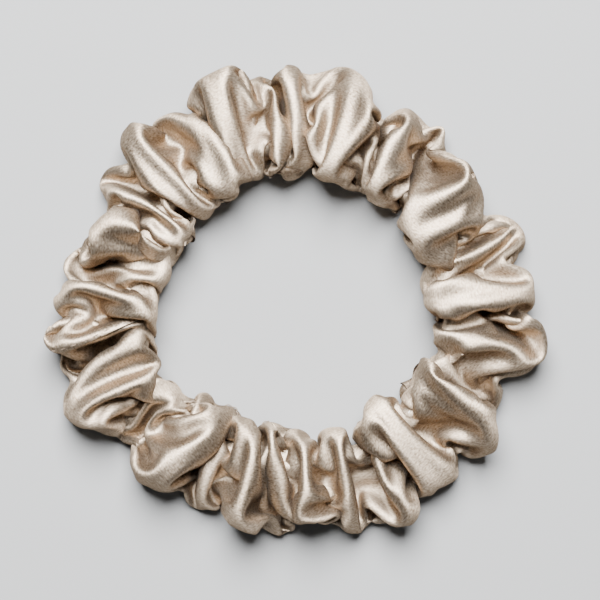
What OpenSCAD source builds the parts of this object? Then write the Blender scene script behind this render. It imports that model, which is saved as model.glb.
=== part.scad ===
// Satin scrunchie: a gathered cloth casing round a loop of flat braided elastic.
// It lies flat on z = 0, centred on the Z axis. Millimetres, angles counted from +X towards +Y.
// The ring stretches along X, so each ring-shaped piece is drawn as a left and a right half.

/* [Cover] */
// Radius of the casing's centre line
ring_r = 39; // [36:1:60]
// Width of the gathered casing, from its inner to its outer side, without pleats
casing_w = 22; // [18:1:26]
// Height of the gathered casing
casing_h = 17; // [14:1:24]
// Width of the channel that the folds leave for the elastic
channel_w = 6.4; // [5.6:0.2:7]
// Height of that channel
channel_h = 8.4; // [7.6:0.2:9]
// How far the pleats stand out and fall in at the outer side
pleat_depth = 2.6; // [0:0.2:3]
// How far the pleats lean, in degrees of the ring
pleat_lean = 3; // [0:0.5:6]

/* [Elastic] */
// Radius of the elastic loop, to the middle of the tape
elastic_r = 33.5; // [32:0.5:36]
// Height of the tape's middle: the elastic lies low in the casing
elastic_z = 6.2; // [5.8:0.1:8.4]
// Width of the tape, which stands on its edge
tape_w = 6; // [4:0.5:8]
// Thickness of the tape
tape_t = 1.2; // [1:0.1:1.4]
// Diameter of each rubber cord in the braid
cord_d = 0.44; // [0.3:0.02:0.5]

/* [Threads] */
// Diameter of the sewing thread
thread_d = 0.24; // [0.16:0.02:0.3]
// Angle of the ring at which the casing's two ends are sewn together
closing_angle = 186; // [170:1:200]
// Where the long seam runs round the casing's section, from its outer side over the top
long_seam_angle = 212; // [200:1:240]

/* [Hidden] */
$fn = 48;

// The ring's halves stop short of the Y axis by this angle, which leaves 0.3 mm between them
gap_angle = 0.22;
half_sweep = 180 - 2 * gap_angle;

// Pleats round the whole ring, a multiple of 4 so that the ring's box stays centred
pleats = 28;
rings_per_pleat = 5;
ring_steps = pleats / 2 * rings_per_pleat;
section_steps = 16;
// The section's height beyond its flat foot, which the floor cuts off
foot_cut = 1.15;

// The braid's cords lie side by side across the tape
cord_count = 8;
cord_pitch = tape_w * 0.115;
cord_clearance = 0.03;

// One end of the tape runs on outside the other: its arc is a little larger and off centre
lap_start = -36;
lap_end = -18;
lap_rise = 0.98;
stitch_count = 7;
stitch_z = 3 * cord_pitch;
thread_sides = 8;

// The seams lie this deep in the gathered cloth
seam_depth = 1.2;
closing_loop_steps = 32;
// The channel's section is an oval, squared by this power
channel_power = 0.6;
channel_off = 1;

// -1 in a valley to 1 on a ridge, at an angle of the ring
function pleat_wave(a) = cos(pleats * a) * (0.75 + 0.25 * cos(12 * a));

// The pleats fade out towards the casing's inner side, where the cloth is gathered tight
function pleat_share(s) = (1 + cos(s)) / 2;

// A point of the casing's outer section, as [radius, height]; inset is the distance in from its face
function section_point(a, s, inset) =
  let (ruffle = pleat_depth * pleat_share(s) * pleat_wave(a + pleat_lean * sin(s)))
  [
    ring_r + (casing_w / 2 + ruffle - inset) * cos(s),
    max(inset, casing_h / 2 + (casing_h / 2 * foot_cut + ruffle / 2 - inset) * sin(s))
  ];

// A point of the channel's section
function channel_point(s) =
  [
    elastic_r + channel_off + channel_w / 2 * sign(cos(s)) * pow(abs(cos(s)), channel_power),
    elastic_z + channel_h / 2 * sign(sin(s)) * pow(abs(sin(s)), channel_power)
  ];

function on_ring(a, p) = [p[0] * cos(a), p[0] * sin(a), p[1]];

// Half of the casing: a pipe as thick as the folds are deep, cut square at both ends
module cover_half(first_angle) {
  step = half_sweep / ring_steps;
  points = [
    for (i = [0 : ring_steps], wall = [0, 1], j = [0 : section_steps - 1])
      let (a = first_angle + i * step, s = j * 360 / section_steps)
      on_ring(a, wall == 0 ? section_point(a, s, 0) : channel_point(s))
  ];
  function at(i, wall, j) = (2 * i + wall) * section_steps + j % section_steps;
  outside = [
    for (i = [0 : ring_steps - 1], j = [0 : section_steps - 1])
      each [
        [at(i, 0, j), at(i, 0, j + 1), at(i + 1, 0, j + 1)],
        [at(i, 0, j), at(i + 1, 0, j + 1), at(i + 1, 0, j)]
      ]
  ];
  inside = [
    for (i = [0 : ring_steps - 1], j = [0 : section_steps - 1])
      each [
        [at(i, 1, j), at(i + 1, 1, j + 1), at(i, 1, j + 1)],
        [at(i, 1, j), at(i + 1, 1, j), at(i + 1, 1, j + 1)]
      ]
  ];
  first_cut = [
    for (j = [0 : section_steps - 1])
      [at(0, 0, j), at(0, 1, j), at(0, 1, j + 1), at(0, 0, j + 1)]
  ];
  last_cut = [
    for (j = [0 : section_steps - 1])
      let (i = ring_steps)
      [at(i, 0, j), at(i, 0, j + 1), at(i, 1, j + 1), at(i, 1, j)]
  ];
  polyhedron(points, concat(outside, inside, first_cut, last_cut), convexity = 8);
}

// Heights of the rubber cords
function cord_z(k) = elastic_z + (k - (cord_count - 1) / 2) * cord_pitch;

// Section of the tape: round edges, and a channel for each cord
module tape_section() {
  edge = tape_w / 2 - tape_t / 2;
  difference() {
    union() {
      translate([-tape_t / 2, elastic_z - edge]) square([tape_t, 2 * edge]);
      for (side = [-1, 1]) translate([0, elastic_z + side * edge]) circle(d = tape_t);
    }
    cord_sections(cord_d + 2 * cord_clearance);
  }
}

module cord_sections(d) {
  for (k = [0 : cord_count - 1]) translate([0, cord_z(k)]) circle(d = d, $fn = 24);
}

// Sweeps a section along the left half of the elastic loop
module elastic_left() {
  rotate([0, 0, 90 + gap_angle])
    rotate_extrude(angle = half_sweep) translate([elastic_r, 0]) children();
}

// Sweeps a section along the right half, whose two ends lie on each other in the lap
module elastic_right() {
  rotate([0, 0, -90 + gap_angle])
    rotate_extrude(angle = lap_end + 90 - gap_angle) translate([elastic_r, 0]) children();
  translate([0, -lap_rise, 0])
    rotate([0, 0, lap_start])
      rotate_extrude(angle = 90 - gap_angle - lap_start)
        translate([elastic_r + lap_rise, 0]) children();
}

// A round thread along a path; each point is [place, direction across the path]
module thread(path, d, closed) {
  count = len(path);
  last = closed ? count - 1 : count - 2;
  points = [
    for (i = [0 : count - 1])
      let (
        before = path[closed ? (i + count - 1) % count : max(i - 1, 0)],
        after = path[closed ? (i + 1) % count : min(i + 1, count - 1)],
        along = (after - before) / norm(after - before),
        side = cross(along, abs(along[2]) > 0.9 ? [1, 0, 0] : [0, 0, 1]),
        u = side / norm(side),
        v = cross(along, u)
      )
      for (k = [0 : thread_sides - 1])
        path[i] + d / 2 * (u * cos(k * 360 / thread_sides) + v * sin(k * 360 / thread_sides))
  ];
  function at(i, k) = (i % count) * thread_sides + k % thread_sides;
  skin = [
    for (i = [0 : last], k = [0 : thread_sides - 1])
      each [
        [at(i, k), at(i + 1, k), at(i + 1, k + 1)],
        [at(i, k), at(i + 1, k + 1), at(i, k + 1)]
      ]
  ];
  first_end = [for (k = [0 : thread_sides - 1]) at(0, k)];
  last_end = [for (k = [thread_sides - 1 : -1 : 0]) at(count - 1, k)];
  polyhedron(points, closed ? skin : concat(skin, [first_end, last_end]), convexity = 8);
}

module satin_cover_left() {
  color("#a39385") cover_half(90 + gap_angle);
}

module satin_cover_right() {
  color("#a39385") cover_half(-90 + gap_angle);
}

module elastic_braid_left() {
  color("#e9e4da") elastic_left() tape_section();
}

module elastic_braid_right() {
  color("#e9e4da") elastic_right() tape_section();
}

module rubber_cords_left() {
  color("#c9b38c") elastic_left() cord_sections(cord_d);
}

module rubber_cords_right() {
  color("#c9b38c") elastic_right() cord_sections(cord_d);
}

// Zigzag of thread that holds the lap: it crosses the outer face and comes back on the inner one
module elastic_lap_stitches() {
  margin = 2.5;
  reach = lap_end - lap_start - 2 * margin;
  off_face = tape_t / 2 + thread_d / 2;
  path = [
    for (k = [0 : stitch_count - 1])
      let (
        a = lap_start + margin + reach * k / (stitch_count - 1),
        z = elastic_z + (k % 2 == 0 ? -stitch_z : stitch_z),
        inner_r = elastic_r - off_face,
        outer_r = elastic_r + lap_rise * (1 - sin(a)) + off_face,
        radii = k % 2 == 0 ? [inner_r, outer_r] : [outer_r, inner_r]
      )
      for (r = radii) on_ring(a, [r, z])
  ];
  color("#f4f1ea") thread(path, thread_d, false);
}

// Line of stitches along the casing, sewn through the cloth from inside
module long_seam() {
  place = section_point(0, long_seam_angle, seam_depth);
  translate(place) circle(d = thread_d, $fn = 24);
}

module long_seam_thread_left() {
  color("#8d7a68")
    rotate([0, 0, 90 + gap_angle]) rotate_extrude(angle = half_sweep) long_seam();
}

module long_seam_thread_right() {
  color("#8d7a68")
    rotate([0, 0, -90 + gap_angle]) rotate_extrude(angle = half_sweep) long_seam();
}

// Ring of stitches that joins the casing's two ends, sewn through the cloth from inside
module closing_seam_thread() {
  path = [
    for (k = [0 : closing_loop_steps - 1])
      let (s = k * 360 / closing_loop_steps)
      on_ring(closing_angle, section_point(closing_angle, s, seam_depth + 2 * thread_d))
  ];
  color("#8d7a68") thread(path, thread_d, true);
}

satin_cover_left();
satin_cover_right();
elastic_braid_left();
elastic_braid_right();
rubber_cords_left();
rubber_cords_right();
elastic_lap_stitches();
long_seam_thread_left();
long_seam_thread_right();
closing_seam_thread();
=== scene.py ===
"""A satin scrunchie: a tube of cloth gathered on a loop of braided elastic, lying on a pale floor.

The cloth and everything sewn into it are worked out in millimetres, and become metres as they turn into
meshes.
"""

import math

import bpy
import numpy as np
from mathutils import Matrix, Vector


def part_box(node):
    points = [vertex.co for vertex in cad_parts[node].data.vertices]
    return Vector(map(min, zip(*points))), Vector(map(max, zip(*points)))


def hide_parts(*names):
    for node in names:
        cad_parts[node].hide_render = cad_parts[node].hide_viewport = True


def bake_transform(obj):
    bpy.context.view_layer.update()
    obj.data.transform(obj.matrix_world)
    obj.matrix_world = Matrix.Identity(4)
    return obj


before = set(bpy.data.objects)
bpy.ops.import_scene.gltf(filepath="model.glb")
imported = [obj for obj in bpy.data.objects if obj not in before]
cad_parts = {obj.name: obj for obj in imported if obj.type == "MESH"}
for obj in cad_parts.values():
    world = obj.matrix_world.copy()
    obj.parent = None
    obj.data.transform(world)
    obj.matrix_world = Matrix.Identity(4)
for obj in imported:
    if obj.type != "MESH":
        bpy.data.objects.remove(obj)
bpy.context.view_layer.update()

MM = 0.001
TAU = 2 * math.pi
F32 = np.float32

# The camera looks straight down. The ring's centre lies a little left of and below the picture's centre.
CAMERA_HEIGHT = 600 * MM
VIEW_WIDTH = 126 * MM
AIM = Vector((1.7 * MM, 1.3 * MM, 8 * MM))
SENSOR = 36.0

# ----------------------------------------------------------------------------------------------------------
# Sizes in millimetres, and angles in degrees. The elastic's place is the CAD's.

tape_low, tape_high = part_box("elastic_braid_left")
TAPE_T = 1.2
TAPE_W = (tape_high.z - tape_low.z) / MM
TAPE_Z = (tape_high.z + tape_low.z) / 2 / MM
TAPE_R = -tape_low.x / MM - TAPE_T / 2
# One end of the tape lies outside the other between these angles, on an arc that is larger by the rise
LAP_FROM, LAP_TO, LAP_RISE = -36.0, -18.0, 0.98
CORDS, CORD_D = 8, 0.44
THREAD_D = 0.24
THREAD_TIP = 0.35           # thickness of a thread or cord at its ends, as a share

# The strip that the casing is sewn from: its length, and its width round the tube without seam allowances
STRIP_L, STRIP_C = 660.0, 64.0
# Points of the cloth along the strip and round the tube
NU, NV = 528, 40
DU, DV = STRIP_L / NU, STRIP_C / NV
# Rows of cloth in each seam allowance, and columns in the hem and in the raw end that the hem hides
ALLOWANCE_ROWS, HEM_COLUMNS, TUCKED_COLUMNS = 3, 3, 5
MEETING = 0.36              # rows that each long edge leans past the seam, so that both meet once rounded
LONG_SEAM_ANGLE, CLOSING_ANGLE = 212.0, 186.0

# One row for each crease, anticlockwise from +X: its angle at the outer edge and at the opening, and how deep
# it is tucked (0 to 1); then the panel after it: how far it reaches out and in, and its spare cloth (0 to 1)
FOLDS = [
    (13, 5, 1.0, 51.5, 27.0, 0.5),
    (25, 14, 1.0, 46.5, 28.0, 0.3),
    (47.5, 46.5, 1.0, 50.5, 28.0, 0.3),
    (52, 49, 0.8, 48.5, 28.0, 0.5),
    (63, 53, 0.8, 43.0, 28.5, 0.4),
    (68, 60, 0.4, 51.5, 27.5, 0.8),
    (86, 84, 1.0, 51.0, 27.0, 0.4),
    (94.5, 91.5, 0.7, 49.0, 27.0, 0.6),
    (99, 95.5, 1.0, 52.0, 28.0, 0.8),
    (117.5, 113, 1.0, 48.0, 25.0, 0.5),
    (129, 127, 0.6, 51.5, 25.5, 0.6),
    (138.5, 140, 1.0, 48.0, 25.0, 0.6),
    (151, 150, 1.0, 44.5, 26.0, 0.6),
    (166, 158, 0.7, 50.0, 26.5, 0.5),
    (176, 173, 0.8, 49.5, 27.5, 0.5),
    (184, 180, 0.6, 52.0, 29.0, 0.5),
    (193, 188, 1.0, 50.0, 30.0, 0.5),
    (197.5, 194, 0.5, 53.5, 30.5, 0.6),
    (213, 209, 0.5, 45.5, 30.0, 0.6),
    (221.5, 221, 1.0, 49.0, 26.5, 0.5),
    (239, 233, 0.9, 46.5, 25.0, 0.6),
    (252, 247, 0.9, 48.0, 25.0, 0.6),
    (264, 255, 1.0, 49.5, 25.0, 0.5),
    (269, 261, 0.9, 46.0, 25.5, 0.5),
    (274, 266, 0.8, 45.5, 26.5, 0.5),
    (282, 277, 1.0, 50.5, 27.0, 0.6),
    (290, 295, 0.9, 51.5, 28.5, 0.7),
    (304, 301, 1.0, 50.0, 25.5, 0.9),
    (318.5, 318, 0.9, 51.5, 28.0, 0.8),
    (331, 328, 0.8, 48.0, 30.5, 0.7),
    (341, 342, 0.9, 54.0, 30.5, 0.8),
    (358, 357, 1.0, 51.5, 27.0, 0.6),
]

# ----------------------------------------------------------------------------------------------------------
# How the cloth behaves in the simulation

GATHER_STEPS, SETTLE_STEPS = 420, 120
ROUNDS, SETTLE_ROUNDS = 6, 12
MID_R = 38.0                # where the tube's centre line ends up
CLOTH_FLOOR, CLOTH_TOP = 0.45, 18.0
CLOTH_GAP = 1.1             # least distance between layers
PAIRS_EVERY, PAIRS_WITHIN, PAIRS_APART = 8, 2.4, 2.2
TAPE_GAP = 0.7
BESIDE_TAPE = 0.35          # share of the tube's half height up to which its rows lie beside the tape
OFF_FLOOR = 0.05            # least height of the finished pieces
# Stiffness over spans of 8, 4 and 2 points, as the gathering starts and ends. Stiff cloth makes the large
# folds, and soft cloth then makes the small ones in them.
SPANS, STIFF_FROM, STIFF_TO = (8, 4, 2), (0.45, 0.4, 0.5), (0.0, 0.004, 0.06)
LEAST_STIFFNESS = 0.0005    # any less is left out
SOFTENS_AT = 0.7            # share of the gathering after which the cloth turns soft
SHEAR = 0.2
GRAVITY, AIR, AIR_SETTLED = 0.012, 0.015, 0.006      # millimetres a step
PANEL_AIR = 0.045           # more air under the panels than under the creases
KEPT_SPEED, KEPT_SETTLED, TOP_SPEED = 0.85, 0.7, 0.4
CREASE_WIDTH = 1.8
TUCK, TUCK_SETTLED, GUIDE, DRAW, OUTLINE = 0.12, 0.5, 0.1, 0.08, 0.15
# Where in the gathering panels start to be drawn and creases to be tucked, and over how much of it that grows
DRAW_AT, TUCK_AT = (0.3, 0.3), (0.4, 0.4)
NOTCH = 4.0                 # how far the outline falls in at a deep crease
# The ridge that a crease is tucked into: how far its middle lies outside the tube's centre line and below the
# tape's, and half its width and height
RIDGE_OUT, RIDGE_DOWN, RIDGE_WIDE, RIDGE_HIGH = 0.5, 1, 5, 1.5
# Each pull sets in at the first of a pair and grows over the second: a crease's with the height round the
# tube, and a panel's with the nearness to the tube's two sides and to the middle between the creases
TUCK_ABOVE, DRAW_SIDES, DRAW_MIDDLE = (-0.45, 0.6), (0.55, 0.35), (0.5, 0.4)
# Cloth in a panel without any spare, against its arc, and the spare cloth that each panel has besides its own
LEAST_CLOTH, LEAST_SPARE = 1.1, 0.5
# The smooth ring at the start: its height, its oval section, the panels' bulge, and some unevenness
START_Z, START_WIDE, START_HIGH = 9.2, 1.07, 0.93
PANEL_BUMP, ROUGHNESS, WAVES, JITTER = 2.0, 0.1, 12, 0.03
PANEL_LEVEL = 0.6           # where a panel's bulge crosses the smooth ring, as a share of the bulge
WAVES_ALONG, WAVES_ROUND = (4, 40), (-3, 4)
SEED = 4


def smoothstep(t):
    t = np.clip(t, 0, 1)
    return t * t * (3 - 2 * t)


def pull(a, b, rest, k):
    """Brings the points of a and b, views of equal shape, to a distance of rest."""
    d = b - a
    move = d * (F32(0.5 * k) * (1 - F32(rest) / (np.sqrt((d * d).sum(0)) + F32(1e-9))))
    a += move
    b -= move


def relax_along(x, axis, span, rest, k):
    """Keeps points that are span apart along an axis at their distance, half of the pairs at a time."""
    shape = list(x.shape)
    shape[axis:axis + 1] = [x.shape[axis] // (2 * span), 2 * span]
    before = (slice(None),) * (axis + 1)
    for shift in (0, span):
        y = np.roll(x, -shift, axis)
        z = y.reshape(shape)
        pull(z[before + (slice(0, span),)], z[before + (slice(span, None),)], rest, k)
        x[:] = np.roll(y, shift, axis)


def relax_shear(x, rest, k):
    """Keeps the diagonals of the cloth's squares at their length."""
    for shift in (0, 1):
        y = np.roll(x, -shift, 1)
        z = y.reshape(3, NU // 2, 2, NV)
        for way in (1, -1):
            across = np.roll(z[:, :, 1], -way, -1)
            pull(z[:, :, 0], across, rest, k)
            z[:, :, 1] = np.roll(across, way, -1)
        x[:] = np.roll(y, shift, 1)


def normals(x):
    """Outward unit normals of the cloth at its points."""
    along = np.roll(x, -1, 1) - np.roll(x, 1, 1)
    across = np.roll(x, -1, 2) - np.roll(x, 1, 2)
    n = np.cross(along, across, axis=0)
    return n / (np.sqrt((n * n).sum(0)) + F32(1e-9))


def around(x):
    """Distance of each point from the ring's axis."""
    return np.sqrt(x[0] ** 2 + x[1] ** 2)


def close_pairs(x, radius, keep):
    """Pairs of points nearer than radius, and further than keep from each other along the cloth."""
    p = x.reshape(3, -1)
    cell = np.floor(p / radius).astype(np.int64)
    cell -= cell.min(1)[:, None] - 1
    size = cell.max(1) + 2
    key = (cell[0] * size[1] + cell[1]) * size[2] + cell[2]
    order = np.argsort(key, kind="stable")
    key = key[order]
    every = np.arange(len(key))
    steps = [(i, j, k) for i in (-1, 0, 1) for j in (-1, 0, 1) for k in (-1, 0, 1)]
    found_a, found_b = [], []
    for step in [s for s in steps if s >= (0, 0, 0)]:
        want = key + (step[0] * size[1] + step[1]) * size[2] + step[2]
        high = np.searchsorted(key, want, "right")
        low = np.searchsorted(key, want, "left") if any(step) else np.minimum(every + 1, high)
        count = high - low
        a = np.repeat(every, count)
        b = np.repeat(low - np.cumsum(count) + count, count) + np.arange(len(a))
        found_a.append(order[a])
        found_b.append(order[b])
    a, b = np.concatenate(found_a), np.concatenate(found_b)
    d = p[:, b] - p[:, a]
    near = (d * d).sum(0) < radius * radius
    a, b = a[near], b[near]
    along = np.abs(a // NV - b // NV)
    across = np.abs(a % NV - b % NV)
    along = np.minimum(along, NU - along) * DU
    across = np.minimum(across, NV - across) * DV
    apart = along ** 2 + across ** 2 > keep * keep
    return a[apart], b[apart]


def separate(x, pairs):
    """Pushes layers of cloth off each other."""
    a, b = pairs
    p = x.reshape(3, -1)
    d = p[:, b] - p[:, a]
    squared = (d * d).sum(0)
    touching = squared < CLOTH_GAP * CLOTH_GAP
    a, b, d = a[touching], b[touching], d[:, touching]
    move = d * (F32(0.5) * (F32(CLOTH_GAP) / (np.sqrt(squared[touching]) + F32(1e-6)) - 1))
    points = p.shape[1]
    shared = np.bincount(a, minlength=points) + np.bincount(b, minlength=points)
    share = 1 / np.maximum(1, shared * 0.5)
    for i in range(3):
        p[i] += ((np.bincount(b, move[i], points) - np.bincount(a, move[i], points)) * share).astype(F32)


class GatheredTube:
    """The casing's cloth. self.x is [axis, along the strip, round the tube]; both ways close on themselves.

    Row 0 is the tube's outer side, and a quarter of the rows further is its top. The tube starts as a smooth
    ring as long as the strip, and is gathered by drawing the ring in to the elastic's size.
    """

    def __init__(self):
        rng = np.random.default_rng(SEED)
        self.lay_out()
        self.s = np.arange(NV) / NV * TAU
        self.start_r = STRIP_L / TAU
        self.x = self.start_shape(rng).astype(F32)
        self.before = self.x.copy()
        self.place_forces()

    def lay_out(self):
        """Shares the strip out among the panels, and finds each column's place between its creases."""
        outer, inner, tuck, reach, bore, spare = np.array(FOLDS, float).T
        middle = (outer + inner) / 2
        width = np.diff(np.append(middle, middle[0] + 360))
        flat = np.radians(width) * MID_R * LEAST_CLOTH
        extra = spare + LEAST_SPARE
        share = flat + (STRIP_L - flat.sum()) * extra / extra.sum()
        start = np.concatenate([[0], np.cumsum(share)[:-1]])
        along = np.arange(NU) * DU
        which = np.searchsorted(start, along, "right") - 1
        t = (along - start[which]) / share[which]
        depth = np.where(t < 0.5, tuck[which], np.roll(tuck, -1)[which])
        nearest = np.minimum(t, 1 - t) * share[which]
        knots = np.append(start, STRIP_L)
        self.outer = np.interp(along, knots, np.append(outer, outer[0] + 360))
        self.inner = np.interp(along, knots, np.append(inner, inner[0] + 360))
        self.crease = depth * np.exp(-(nearest / CREASE_WIDTH) ** 2)
        self.panel = np.sin(np.pi * t)
        self.reach, self.bore = reach[which], bore[which]
        self.rim = self.outline(outer, reach, np.minimum(reach, np.roll(reach, 1)) - NOTCH * tuck)
        self.opening = self.outline(inner, bore, np.maximum(bore, np.roll(bore, 1)) + NOTCH * tuck)

    @staticmethod
    def outline(creases, panels, notches):
        """Radius at each degree of an outline that bulges at the panels and is notched at the creases."""
        every = np.arange(361)
        turned = (every - creases[0]) % 360
        knots = np.append(creases - creases[0], 360)
        which = np.searchsorted(knots, turned, "right") - 1
        t = (turned - knots[which]) / (knots[which + 1] - knots[which])
        base = notches[which] * (1 - t) + np.roll(notches, -1)[which] * t
        return base + (panels[which] - base) * (1 - np.abs(2 * t - 1) ** 3)

    def start_shape(self, rng):
        """The ring before it is gathered, with a bulge at each panel."""
        even = np.arange(NU) / NU * 360
        even += (self.outer + self.inner).mean() / 2 - even.mean()
        self.even = np.radians(even)[:, None] * np.ones(NV)
        along = np.arange(NU)[:, None] / NU * TAU
        rough = np.zeros((NU, NV))
        for _ in range(WAVES):
            a, b = rng.integers(*WAVES_ALONG), rng.integers(*WAVES_ROUND)
            rough += np.sin(a * along + b * self.s + rng.uniform(0, TAU)) / math.sqrt(WAVES)
        bump = PANEL_BUMP * (self.panel[:, None] - PANEL_LEVEL) + ROUGHNESS * rough
        r = self.start_r + (STRIP_C / TAU * START_WIDE + bump) * np.cos(self.s)
        z = START_Z + (STRIP_C / TAU * START_HIGH + bump) * np.sin(self.s)
        x = np.stack([r * np.cos(self.even), r * np.sin(self.even), z])
        return x + rng.normal(0, JITTER, x.shape)

    def place_forces(self):
        """Where creases are tucked to and panels are drawn to, and how strongly, for each point."""
        outward, upward = np.cos(self.s), np.sin(self.s)
        share = (1 + outward) / 2
        self.angle = np.radians(self.inner[:, None] + (self.outer - self.inner)[:, None] * share)
        # A crease is tucked into a low narrow ridge, apart from the part of it that lies on the floor
        self.tuck_r = (RIDGE_OUT + RIDGE_WIDE * outward)[None, :]
        self.tuck_z = (TAPE_Z - RIDGE_DOWN + RIDGE_HIGH * upward)[None, :]
        above = smoothstep((upward - TUCK_ABOVE[0]) / TUCK_ABOVE[1])
        self.tucked = self.crease[:, None] * above[None, :]
        # A panel is drawn to its outline at the tube's two sides only, and not beside its creases
        sides = np.clip((np.abs(outward) - DRAW_SIDES[0]) / DRAW_SIDES[1], 0, 1)
        middle = np.clip((self.panel - DRAW_MIDDLE[0]) / DRAW_MIDDLE[1], 0, 1)
        self.drawn = middle[:, None] * sides[None, :]
        self.draw_r = np.where(outward > 0, self.reach[:, None], self.bore[:, None])
        self.air = (AIR + PANEL_AIR * (self.panel * 2 - 1))[:, None].astype(F32)

    def move_out(self, distance):
        """Moves each point away from the ring's axis by its distance."""
        move = (distance / around(self.x)).astype(F32)
        self.x[0] += self.x[0] * move
        self.x[1] += self.x[1] * move

    def gather(self, ring_step):
        """Draws the whole ring in, and with it the places that the speeds are taken from."""
        shrink = 1 - F32(ring_step) / around(self.x)
        self.x[:2] *= shrink
        self.before[:2] *= shrink

    def turn_to_folds(self, g):
        """Turns the creases round the ring towards their places."""
        want = self.even + (self.angle - self.even) * g
        off = (want - np.arctan2(self.x[1], self.x[0]) + math.pi) % TAU - math.pi
        turn = (off * GUIDE * self.crease[:, None]).astype(F32)
        c, s = np.cos(turn), np.sin(turn)
        self.x[0], self.x[1] = self.x[0] * c - self.x[1] * s, self.x[0] * s + self.x[1] * c

    def keep_outline(self, spread):
        """Holds the cloth softly inside the ring's outline and under its top."""
        r = around(self.x)
        angle = np.degrees(np.arctan2(self.x[1], self.x[0])) % 360
        whole = angle.astype(int) % 360
        part = angle - np.floor(angle)
        rim = self.rim[whole] * (1 - part) + self.rim[whole + 1] * part + spread
        opening = self.opening[whole] * (1 - part) + self.opening[whole + 1] * part + spread
        self.move_out(OUTLINE * (np.minimum(rim - r, 0) + np.maximum(opening - r, 0)))
        self.x[2] -= np.maximum(self.x[2] - F32(CLOTH_TOP), 0) * F32(OUTLINE)
        self.x[2] = np.maximum(self.x[2], F32(CLOTH_FLOOR))

    def keep_off_tape(self, spread):
        """Keeps each side of the tube on its own side of the elastic."""
        r = around(self.x)
        off_r, off_z = TAPE_T / 2 + TAPE_GAP, TAPE_W / 2 + TAPE_GAP
        dr, dz = r - (TAPE_R + spread), self.x[2] - TAPE_Z
        near, level = np.abs(dr) < off_r, np.abs(dz) < off_z
        upward, outward = np.sin(self.s), np.cos(self.s)
        beside = np.abs(upward) <= BESIDE_TAPE
        lift = np.where(near & (upward > BESIDE_TAPE), np.maximum(off_z - dz, 0), 0)
        lift += np.where(near & (upward < -BESIDE_TAPE), np.minimum(-off_z - dz, 0), 0)
        push = np.where(level & beside & (outward > 0), np.maximum(off_r - dr, 0), 0)
        push += np.where(level & beside & (outward < 0), np.minimum(-off_r - dr, 0), 0)
        self.x[2] += lift.astype(F32)
        self.move_out(push)

    def relax(self, g, rounds, pairs):
        """Brings the cloth back to its lengths, a round at a time, and keeps its layers apart."""
        soft = smoothstep((g - SOFTENS_AT) / (1 - SOFTENS_AT))
        stiffness = [first + (last - first) * soft for first, last in zip(STIFF_FROM, STIFF_TO)]
        for _ in range(rounds):
            for span, k in zip(SPANS, stiffness):
                if k > LEAST_STIFFNESS:
                    relax_along(self.x, 1, span, span * DU, k)
            relax_along(self.x, 2, 2, 2 * DV, stiffness[-1])
            relax_shear(self.x, math.hypot(DU, DV), SHEAR)
            relax_along(self.x, 1, 1, DU, 1.0)
            relax_along(self.x, 2, 1, DV, 1.0)
            separate(self.x, pairs)

    def step(self, g, settling, spread, pairs):
        """One step: speed, weight and air, then the pulls into folds, then the cloth's own lengths."""
        speed = (self.x - self.before) * F32(KEPT_SETTLED if settling else KEPT_SPEED)
        speed /= np.maximum(1, np.sqrt((speed * speed).sum(0)) / F32(TOP_SPEED))
        self.before = self.x.copy()
        self.x += speed
        self.x[2] -= F32(GRAVITY)
        self.x += normals(self.x) * (F32(AIR_SETTLED) if settling else self.air)
        if not settling:
            self.gather((self.start_r - MID_R) / self.steps)
        self.turn_to_folds(g)
        drawing = smoothstep((g - DRAW_AT[0]) / DRAW_AT[1])
        self.move_out((self.draw_r + spread - around(self.x)) * self.drawn * DRAW * drawing)
        tucking = smoothstep((g - TUCK_AT[0]) / TUCK_AT[1])
        hold = self.tucked * TUCK * tucking * (TUCK_SETTLED if settling else 1)
        self.move_out((MID_R + spread + self.tuck_r - around(self.x)) * hold)
        self.x[2] += ((self.tuck_z - self.x[2]) * hold).astype(F32)
        self.relax(g, SETTLE_ROUNDS if settling else ROUNDS, pairs)

    def run(self, steps, settle):
        """Gathers the ring and lets it settle; g is the share of the gathering that is done."""
        self.steps = steps
        for n in range(steps + settle):
            g = min(1.0, (n + 1) / steps)
            spread = (self.start_r - MID_R) * (1 - g)
            if n % PAIRS_EVERY == 0:
                pairs = close_pairs(self.x, PAIRS_WITHIN, PAIRS_APART)
            self.step(g, n >= steps, spread, pairs)
            self.keep_off_tape(spread)
            self.keep_outline(spread)
        return self.x.astype(float)


# ----------------------------------------------------------------------------------------------------------
# Meshes

def mesh_object(name, points, faces, uv):
    """An object of points in millimetres; uv holds a place in millimetres for each corner of each face."""
    mesh = bpy.data.meshes.new(name)
    mesh.from_pydata((points * MM).tolist(), [], faces.tolist())
    layer = mesh.uv_layers.new(name="lay")
    layer.data.foreach_set("uv", (uv * MM).astype(F32).ravel())
    mesh.polygons.foreach_set("use_smooth", [True] * len(mesh.polygons))
    piece = bpy.data.objects.new(name, mesh)
    bpy.context.scene.collection.objects.link(piece)
    return piece


def grid_faces(columns, rows, close_columns=False, close_rows=False):
    """Faces of a grid whose point (i, j) is number i * rows + j, and the grid places of their corners."""
    i = np.arange(columns if close_columns else columns - 1)[:, None, None]
    j = np.arange(rows if close_rows else rows - 1)[None, :, None]
    places_i = i + np.array([0, 1, 1, 0])
    places_j = j + np.array([0, 0, 1, 1])
    places_i, places_j = np.broadcast_arrays(places_i, places_j)
    faces = (places_i % columns) * rows + places_j % rows
    return faces.reshape(-1, 4), places_i.reshape(-1, 4), places_j.reshape(-1, 4)


def subdivided(piece):
    """Turns one level of subdivision into real faces."""
    modifier = piece.modifiers.new("subdivision", "SUBSURF")
    modifier.levels = modifier.render_levels = 1
    evaluated = piece.evaluated_get(bpy.context.evaluated_depsgraph_get())
    smoother = bpy.data.meshes.new_from_object(evaluated)
    piece.modifiers.clear()
    piece.data = smoother
    return piece


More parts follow.
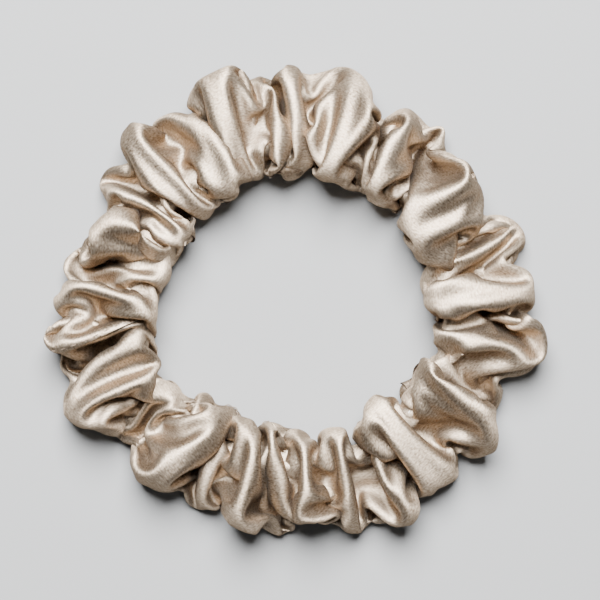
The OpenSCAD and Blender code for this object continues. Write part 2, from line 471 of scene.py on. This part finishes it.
def make_cover(x):
    """The strip of satin: its long edges are turned in at the seam, one end is tucked into the hemmed one."""
    n = normals(x)
    seam_row = round(LONG_SEAM_ANGLE / 360 * NV)
    seam_column = closing_column(x)
    tucked, hidden, turned_in, groove = 0.5, 0.25, 0.35, 0.15
    rising_columns = 4
    columns = np.arange(-TUCKED_COLUMNS, NU + HEM_COLUMNS + 1)
    column_depth = tucked * np.clip(1 - np.maximum(columns, 0) / rising_columns, 0, 1) * (columns < NU)
    column_depth = np.where(columns > NU, hidden, column_depth)
    column = np.where(columns > NU, 2 * NU - columns, columns) + seam_column
    rows = np.arange(-ALLOWANCE_ROWS, NV + ALLOWANCE_ROWS + 1)
    in_allowance = (rows < 0) | (rows > NV)
    row_depth = np.where(in_allowance, turned_in, np.where((rows == 0) | (rows == NV), groove, 0))
    row = np.where(rows < 0, -rows, np.where(rows > NV, 2 * NV - rows, rows)) + seam_row
    row = row + MEETING * ((rows == NV) * 1.0 - (rows == 0))
    depth = (column_depth[:, None] + row_depth).T[:, :, None]
    points = surface_at(x, column[:, None], row) - surface_at(n, column[:, None], row) * depth
    points = np.swapaxes(points, 0, 1)
    points[:, :, 2] = np.maximum(points[:, :, 2], OFF_FLOOR)
    faces, i, j = grid_faces(len(columns), len(rows))
    uv = np.stack([i * DU, j * DV], -1)
    return subdivided(mesh_object("satin_cover", points.reshape(-1, 3), faces, uv))


def closing_column(x):
    """The column of the cloth that lies nearest the closing seam's angle."""
    angle = np.degrees(np.arctan2(x[1].mean(1), x[0].mean(1))) % 360
    return int(np.abs(angle - CLOSING_ANGLE).argmin())


def frames_along(path, closed):
    """Two unit vectors across a path at each point, which don't twist as they follow it."""
    after = np.roll(path, -1, 0)
    before = np.roll(path, 1, 0)
    if not closed:
        after[-1], before[0] = path[-1], path[0]
    along = after - before
    along /= np.linalg.norm(along, axis=1)[:, None]
    across = np.empty_like(path)
    start = np.cross(along[0], [0.0, 0.0, 1.0])
    across[0] = start / np.linalg.norm(start)
    for k in range(1, len(path)):
        side = across[k - 1] - along[k] * (across[k - 1] @ along[k])
        across[k] = side / np.linalg.norm(side)
    return across, np.cross(along, across)


def thread_parts(path, d, sides, closed):
    """Points, faces and uv of a round thread along a path; an open one narrows at its ends."""
    u, v = frames_along(path, closed)
    turn = np.arange(sides) / sides * TAU
    thickness = np.full(len(path), d / 2)
    if not closed:
        thickness[[0, -1]] *= THREAD_TIP
    ring = np.cos(turn)[None, :, None] * u[:, None] + np.sin(turn)[None, :, None] * v[:, None]
    points = path[:, None] + ring * thickness[:, None, None]
    faces, i, j = grid_faces(len(path), sides, closed, True)
    step = np.linalg.norm(np.diff(path, axis=0), axis=1).mean()
    uv = np.stack([i * step, j * (math.pi * d / sides)], -1)
    return points.reshape(-1, 3), faces, uv


def make_threads(name, paths, d, sides, closed=False):
    """One object of a thread along each path."""
    points, faces, uvs, count = [], [], [], 0
    for path in paths:
        p, f, uv = thread_parts(path, d, sides, closed)
        points.append(p)
        faces.append(f + count)
        uvs.append(uv)
        count += len(p)
    return mesh_object(name, np.concatenate(points), np.concatenate(faces), np.concatenate(uvs))


def loop_path(step, overhang=0.0):
    """Middle line of the tape, from its inner end round the ring to the outer end, and its outward side."""
    turn = math.degrees(1 / TAPE_R)
    angles = np.arange(LAP_TO + overhang * turn, LAP_FROM - 360 - overhang * turn, -step * turn)
    a = np.radians(angles)
    outer_arc = angles < -270
    r = np.where(outer_arc, TAPE_R + LAP_RISE, TAPE_R)
    y_off = np.where(outer_arc, -LAP_RISE, 0)
    outward = np.stack([np.cos(a), np.sin(a), 0 * a], -1)
    return outward * r[:, None] + np.stack([0 * a, y_off, 0 * a], -1), outward


def make_braid():
    """The flat braid: a rib over each rubber cord, wrapped in yarn that slants one way and then the other."""
    across_points, edge_points, step = 41, 7, 0.36
    yarn_pitch, yarn_slant, yarn_depth, yarn_pinch = 1.44, 0.8, 0.05, 0.01
    groove, rib_flatness = 0.12, 0.6
    path, outward = loop_path(step)
    half_flat = TAPE_W / 2 - TAPE_T / 2
    w = np.linspace(-half_flat, half_flat, across_points)
    turn = np.linspace(-math.pi / 2, math.pi / 2, edge_points + 2)[1:-1]
    top_edge = np.stack([-np.sin(turn) * TAPE_T / 2, half_flat + np.cos(turn) * TAPE_T / 2], -1)
    section = np.concatenate([
        np.stack([0 * w + TAPE_T / 2, w], -1), top_edge,
        np.stack([0 * w - TAPE_T / 2, -w], -1), -top_edge,
    ])
    length = np.arange(len(path))[:, None] * step
    pitch = TAPE_W / CORDS
    rib = (section[:, 1] / pitch) % 1.0
    slant = np.where(np.floor(section[:, 1] / pitch) % 2 == 0, 1.0, -1.0)
    yarn = np.sin(TAU * (length / yarn_pitch + slant * rib * yarn_slant))
    fall = 1 - np.abs(np.sin(math.pi * rib)) ** rib_flatness
    inset = groove * fall[None, :] + yarn_depth * (1 - yarn)
    depth = np.abs(section[:, 0])[None, :] - inset
    offset = np.sign(section[:, 0])[None, :] * depth
    height = np.broadcast_to(section[:, 1], offset.shape) * (1 - yarn_pinch * (1 - yarn))
    up = np.array([0.0, 0.0, 1.0])
    centre = path + up * TAPE_Z
    points = centre[:, None] + outward[:, None] * offset[:, :, None] + up * height[:, :, None]
    faces, i, j = grid_faces(len(path), len(section), False, True)
    rim = np.abs(np.diff(section, axis=0, append=section[:1])).sum(1)
    around_section = np.concatenate([[0], np.cumsum(rim)])
    uv = np.stack([i * step, around_section[j]], -1)
    return mesh_object("elastic_braid", points.reshape(-1, 3), faces[:, ::-1], uv[:, ::-1])


def make_cords():
    """The rubber cords in the braid, whose cut ends stand a little out of it."""
    step, overhang, pitch = 1.2, 0.8, 0.115
    path, _ = loop_path(step, overhang)
    heights = TAPE_Z + (np.arange(CORDS) - (CORDS - 1) / 2) * TAPE_W * pitch
    return make_threads("rubber_cords", [path + [0, 0, z] for z in heights], CORD_D, sides=6)


def smooth_path(corners, count):
    """Points of a Catmull-Rom curve through the corners, count of them to each stretch."""
    p = np.concatenate([2 * corners[:1] - corners[1:2], corners, 2 * corners[-1:] - corners[-2:-1]])
    t = (np.arange(count) / count)[None, :, None]
    a, b, c, d = (p[k:len(p) - 3 + k, None] for k in range(4))
    curve = b + 0.5 * t * (c - a + t * (2 * a - 5 * b + 4 * c - d + t * (3 * (b - c) + d - a)))
    return np.concatenate([curve.reshape(-1, 3), corners[-1:]])


def make_lap_stitches():
    """A zigzag of thread through both layers of the lap, over one face and back over the other."""
    stitches, margin, rise, points_per_corner = 9, 2.5, 2.1, 6
    off_face = TAPE_T / 2 + THREAD_D / 2
    corners = []
    for k in range(stitches):
        a = math.radians(LAP_FROM + margin + (LAP_TO - LAP_FROM - 2 * margin) * k / (stitches - 1))
        z = TAPE_Z + (rise if k % 2 else -rise)
        inner = TAPE_R - off_face
        outer = TAPE_R + LAP_RISE * (1 - math.sin(a)) + off_face
        for r in ((outer, inner) if k % 2 else (inner, outer)):
            corners.append([r * math.cos(a), r * math.sin(a), z])
    path = smooth_path(np.array(corners), points_per_corner)
    return make_threads("elastic_lap_stitches", [path], THREAD_D, sides=8)


def surface_at(field, column, row):
    """A field of the cloth between its points: fractions of columns and rows, which may run past the ends."""
    i, j = np.floor(column).astype(int), np.floor(row).astype(int)
    u, v = column - i, row - j
    left, right, below, above = i % NU, (i + 1) % NU, j % NV, (j + 1) % NV
    low = field[:, left, below] * (1 - u) + field[:, right, below] * u
    high = field[:, left, above] * (1 - u) + field[:, right, above] * u
    return (low * (1 - v) + high * v).T


def make_long_seam(x):
    """The thread that joins the long edges: it laces from one edge to the other in the seam's groove."""
    stitch, points_per_column = 2.4, 4
    sway, lies_deep, dips = 0.22, 0.24, 0.16
    seam_row = round(LONG_SEAM_ANGLE / 360 * NV)
    column = np.arange(NU * points_per_column) / points_per_column
    swing = TAU * np.round(STRIP_L / stitch) * column / NU
    row = seam_row + sway * np.cos(swing)
    depth = lies_deep + dips * np.sin(swing)
    path = surface_at(x, column, row)
    path -= surface_at(normals(x), column, row) * depth[:, None]
    path[:, 2] = np.maximum(path[:, 2], THREAD_D / 2 + OFF_FLOOR)
    return make_threads("long_seam_thread", [path], THREAD_D, sides=6, closed=True)


def make_closing_seam(x):
    """The row of stitches across the casing, beside the hem: it comes up to the face and dips under it."""
    stitches, points_per_row, from_hem = 26, 8, 1.1
    lies_deep, rises, steepness, longer_above = 0.36, 0.26, 2.5, 0.2
    row = np.arange(NV * points_per_row) / points_per_row
    column = np.full(len(row), closing_column(x) - from_hem)
    swing = TAU * stitches * row / NV
    lift = -lies_deep + rises * np.tanh(steepness * np.sin(swing) + longer_above)
    path = surface_at(x, column, row) + surface_at(normals(x), column, row) * lift[:, None]
    path[:, 2] = np.maximum(path[:, 2], THREAD_D / 2 + OFF_FLOOR)
    return make_threads("closing_seam_thread", [path], THREAD_D, sides=6, closed=True)


# ----------------------------------------------------------------------------------------------------------
# Materials. Every pattern is laid out by the pieces' own uv, in metres along and across the cloth or thread.

SATIN_DARK, SATIN_LIGHT = (0.165, 0.115, 0.071), (0.555, 0.457, 0.356)
SATIN_EDGE = (0.10, 0.055, 0.03, 1)         # colour of the gloss where the cloth turns away
SATIN_ROUGH = (0.43, 0.63)
YARN_DARK, YARN_LIGHT = (0.62, 0.58, 0.51), (0.84, 0.81, 0.75)
RUBBER_DARK, RUBBER_LIGHT = (0.52, 0.40, 0.26), (0.68, 0.57, 0.42)
STITCH_DARK, STITCH_LIGHT = (0.62, 0.59, 0.53), (0.88, 0.86, 0.81)
SEAM_DARK, SEAM_LIGHT = (0.13, 0.092, 0.06), (0.26, 0.195, 0.14)
FLOOR_COLOUR = (0.26, 0.264, 0.268)


class Nodes:
    """A material's node tree, with short ways to add what the materials below need."""

    def __init__(self, name):
        self.material = bpy.data.materials.new(name)
        self.material.use_nodes = True
        self.tree = self.material.node_tree
        self.shader = self.tree.nodes["Principled BSDF"]
        lay = self.tree.nodes.new("ShaderNodeUVMap")
        lay.uv_map = "lay"
        self.lay = lay.outputs[0]
        apart = self.tree.nodes.new("ShaderNodeSeparateXYZ")
        self.link(self.lay, apart.inputs[0])
        self.along, self.across = apart.outputs[0], apart.outputs[1]

    def link(self, output, socket):
        self.tree.links.new(output, socket)

    def set(self, **values):
        for name, value in values.items():
            self.shader.inputs[name.replace("_", " ")].default_value = value

    def math(self, operation, *values):
        node = self.tree.nodes.new("ShaderNodeMath")
        node.operation = operation
        for socket, value in zip(node.inputs, values):
            if isinstance(value, (int, float)):
                socket.default_value = value
            else:
                self.link(value, socket)
        return node.outputs[0]

    def sum(self, *terms):
        """Sum of (output, weight) pairs."""
        total = self.math("MULTIPLY", *terms[0])
        for output, weight in terms[1:]:
            total = self.math("MULTIPLY_ADD", output, weight, total)
        return total

    def wave(self, coordinate, pitch):
        return self.math("SINE", self.math("MULTIPLY", coordinate, TAU / pitch))

    def noise(self, along, across, detail=3):
        """Noise with so many features a metre along and across."""
        mapping = self.tree.nodes.new("ShaderNodeMapping")
        mapping.inputs["Scale"].default_value = (along, across, 1)
        self.link(self.lay, mapping.inputs[0])
        node = self.tree.nodes.new("ShaderNodeTexNoise")
        node.inputs["Scale"].default_value = 1.0
        node.inputs["Detail"].default_value = detail
        self.link(mapping.outputs[0], node.inputs["Vector"])
        return node.outputs["Fac"]

    def colours(self, factor, *stops):
        """Colours the shader by a factor: stops are (position, colour)."""
        ramp = self.tree.nodes.new("ShaderNodeValToRGB")
        elements = ramp.color_ramp.elements
        while len(elements) < len(stops):
            elements.new(1.0)
        for element, (position, colour) in zip(elements, stops):
            element.position = position
            element.color = (*colour, 1)
        self.link(factor, ramp.inputs[0])
        self.link(ramp.outputs[0], self.shader.inputs["Base Color"])

    def roughness(self, factor, low, high):
        self.link(self.math("MULTIPLY_ADD", factor, high - low, low), self.shader.inputs["Roughness"])

    def bump(self, height, distance, strength=1.0):
        node = self.tree.nodes.new("ShaderNodeBump")
        node.inputs["Strength"].default_value = strength
        node.inputs["Distance"].default_value = distance
        self.link(height, node.inputs["Height"])
        self.link(node.outputs[0], self.shader.inputs["Normal"])


def satin_material():
    """Champagne satin: long floating warp threads with a broad soft gloss, and slubs along them."""
    n = Nodes("champagne_satin")
    warp_pitch, weft_pitch = 0.13 * MM, 0.31 * MM
    slanted = n.math("MULTIPLY_ADD", n.across, 0.6, n.along)
    weave = n.sum((n.wave(n.across, warp_pitch), 0.5), (n.wave(slanted, weft_pitch), 0.5))
    slub = n.noise(300, 4500)
    grain = n.noise(1500, 2600, 2)
    cloud = n.noise(60, 60)
    n.colours(n.sum((slub, 0.2), (grain, 0.6), (cloud, 0.2)), (0.32, SATIN_DARK), (0.64, SATIN_LIGHT))
    n.roughness(grain, *SATIN_ROUGH)
    n.set(Metallic=0.95, Sheen_Weight=0.02, Sheen_Roughness=0.4)
    n.set(Anisotropic=0.65, Anisotropic_Rotation=0.25)
    n.set(Sheen_Tint=(1.0, 0.93, 0.85, 1), Specular_Tint=SATIN_EDGE)
    tangent = n.tree.nodes.new("ShaderNodeTangent")
    tangent.direction_type = "UV_MAP"
    tangent.uv_map = "lay"
    n.link(tangent.outputs[0], n.shader.inputs["Tangent"])
    n.bump(n.sum((weave, 0.4), (slub, 0.5), (grain, 3.0)), 0.06 * MM, 0.4)
    return n.material


def braid_material():
    """Natural white polyester yarn: fine matt filaments, a little soiled in random patches."""
    n = Nodes("braid_yarn")
    filament = n.noise(5200, 900, 4)
    cloud = n.noise(90, 90)
    n.colours(n.sum((filament, 0.7), (cloud, 0.3)), (0.3, YARN_DARK), (0.65, YARN_LIGHT))
    n.roughness(filament, 0.7, 0.92)
    n.set(Sheen_Weight=0.35, Sheen_Roughness=0.5)
    n.bump(filament, 0.05 * MM)
    return n.material


def rubber_material():
    """Tan natural rubber, dusted and slightly mottled."""
    n = Nodes("tan_rubber")
    dust = n.noise(1400, 1400, 4)
    n.colours(dust, (0.35, RUBBER_DARK), (0.7, RUBBER_LIGHT))
    n.roughness(dust, 0.45, 0.7)
    n.bump(dust, 0.02 * MM)
    return n.material


def thread_material(name, dark, light):
    """Sewing thread: plies laid round each other, with fine fibres along them."""
    n = Nodes(name)
    lay_length, plies = 0.9, 3
    turned = n.math("MULTIPLY_ADD", n.across, lay_length / (math.pi * THREAD_D), n.along)
    ply = n.wave(turned, lay_length / plies * MM)
    fibre = n.noise(9000, 3000, 2)
    n.colours(n.sum((ply, 0.25), (fibre, 0.75)), (0.2, dark), (0.6, light))
    n.roughness(fibre, 0.45, 0.75)
    n.set(Sheen_Weight=0.2, Sheen_Roughness=0.4)
    n.bump(ply, 0.03 * MM)
    return n.material


def floor_material():
    """Pale smooth plaster."""
    material = bpy.data.materials.new("pale_floor")
    material.use_nodes = True
    shader = material.node_tree.nodes["Principled BSDF"]
    shader.inputs["Base Color"].default_value = (*FLOOR_COLOUR, 1)
    shader.inputs["Roughness"].default_value = 0.8
    return material


# ----------------------------------------------------------------------------------------------------------
# Camera, floor and light. The light comes from behind the ring's far side.

# Each lamp's place and size in metres, and its watts
KEY = (-0.03, 0.50, 0.80), 0.7, 70
FILL = (0.35, -0.3, 0.95), 0.8, 0.6
SKY = 0.03


def make_camera():
    data = bpy.data.cameras.new("camera")
    data.sensor_width = SENSOR
    data.lens = SENSOR * (CAMERA_HEIGHT - AIM.z) / VIEW_WIDTH
    camera = bpy.data.objects.new("camera", data)
    camera.location = AIM + Vector((0, 0, CAMERA_HEIGHT - AIM.z))
    bpy.context.scene.collection.objects.link(camera)
    bpy.context.scene.camera = camera


def make_floor():
    reach = 2.0
    corners = [(-reach, -reach, 0), (reach, -reach, 0), (reach, reach, 0), (-reach, reach, 0)]
    mesh = bpy.data.meshes.new("floor")
    mesh.from_pydata(corners, [], [(0, 1, 2, 3)])
    mesh.materials.append(floor_material())
    floor = bpy.data.objects.new("floor", mesh)
    bpy.context.scene.collection.objects.link(floor)


def make_light(name, place, size, watts):
    """A round lamp that points at the ring."""
    data = bpy.data.lights.new(name, "AREA")
    data.shape, data.size, data.energy = "DISK", size, watts
    light = bpy.data.objects.new(name, data)
    light.location = place
    light.rotation_euler = (-Vector(place)).to_track_quat("-Z", "Y").to_euler()
    bpy.context.scene.collection.objects.link(light)


def make_world():
    world = bpy.data.worlds.new("studio")
    world.use_nodes = True
    background = world.node_tree.nodes["Background"]
    background.inputs[0].default_value = (0.95, 0.98, 1, 1)
    background.inputs[1].default_value = SKY
    bpy.context.scene.world = world


# ----------------------------------------------------------------------------------------------------------
# The scrunchie


def fit(piece, material, slot, *nodes):
    """Gives a piece its material, and puts it in place of CAD nodes on both halves of the ring."""
    piece.data.materials.clear()
    piece.data.materials.append(material)
    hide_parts(*nodes)
    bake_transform(piece)
    return piece


make_camera()
make_floor()
make_world()
make_light("key", *KEY)
make_light("fill", *FILL)

cloth = GatheredTube().run(*(((GATHER_STEPS, SETTLE_STEPS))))

cover = make_cover(cloth)
fit(cover, satin_material(), "satin", "satin_cover_left", "satin_cover_right")
fit(make_braid(), braid_material(), "braid", "elastic_braid_left", "elastic_braid_right")
fit(make_cords(), rubber_material(), "rubber", "rubber_cords_left", "rubber_cords_right")
white_thread = thread_material("white_thread", STITCH_DARK, STITCH_LIGHT)
fit(make_lap_stitches(), white_thread, "stitch_thread", "elastic_lap_stitches")
seam_thread = thread_material("champagne_thread", SEAM_DARK, SEAM_LIGHT)
fit(make_long_seam(cloth), seam_thread, "seam_thread", "long_seam_thread_left", "long_seam_thread_right")
fit(make_closing_seam(cloth), seam_thread, "seam_thread", "closing_seam_thread")
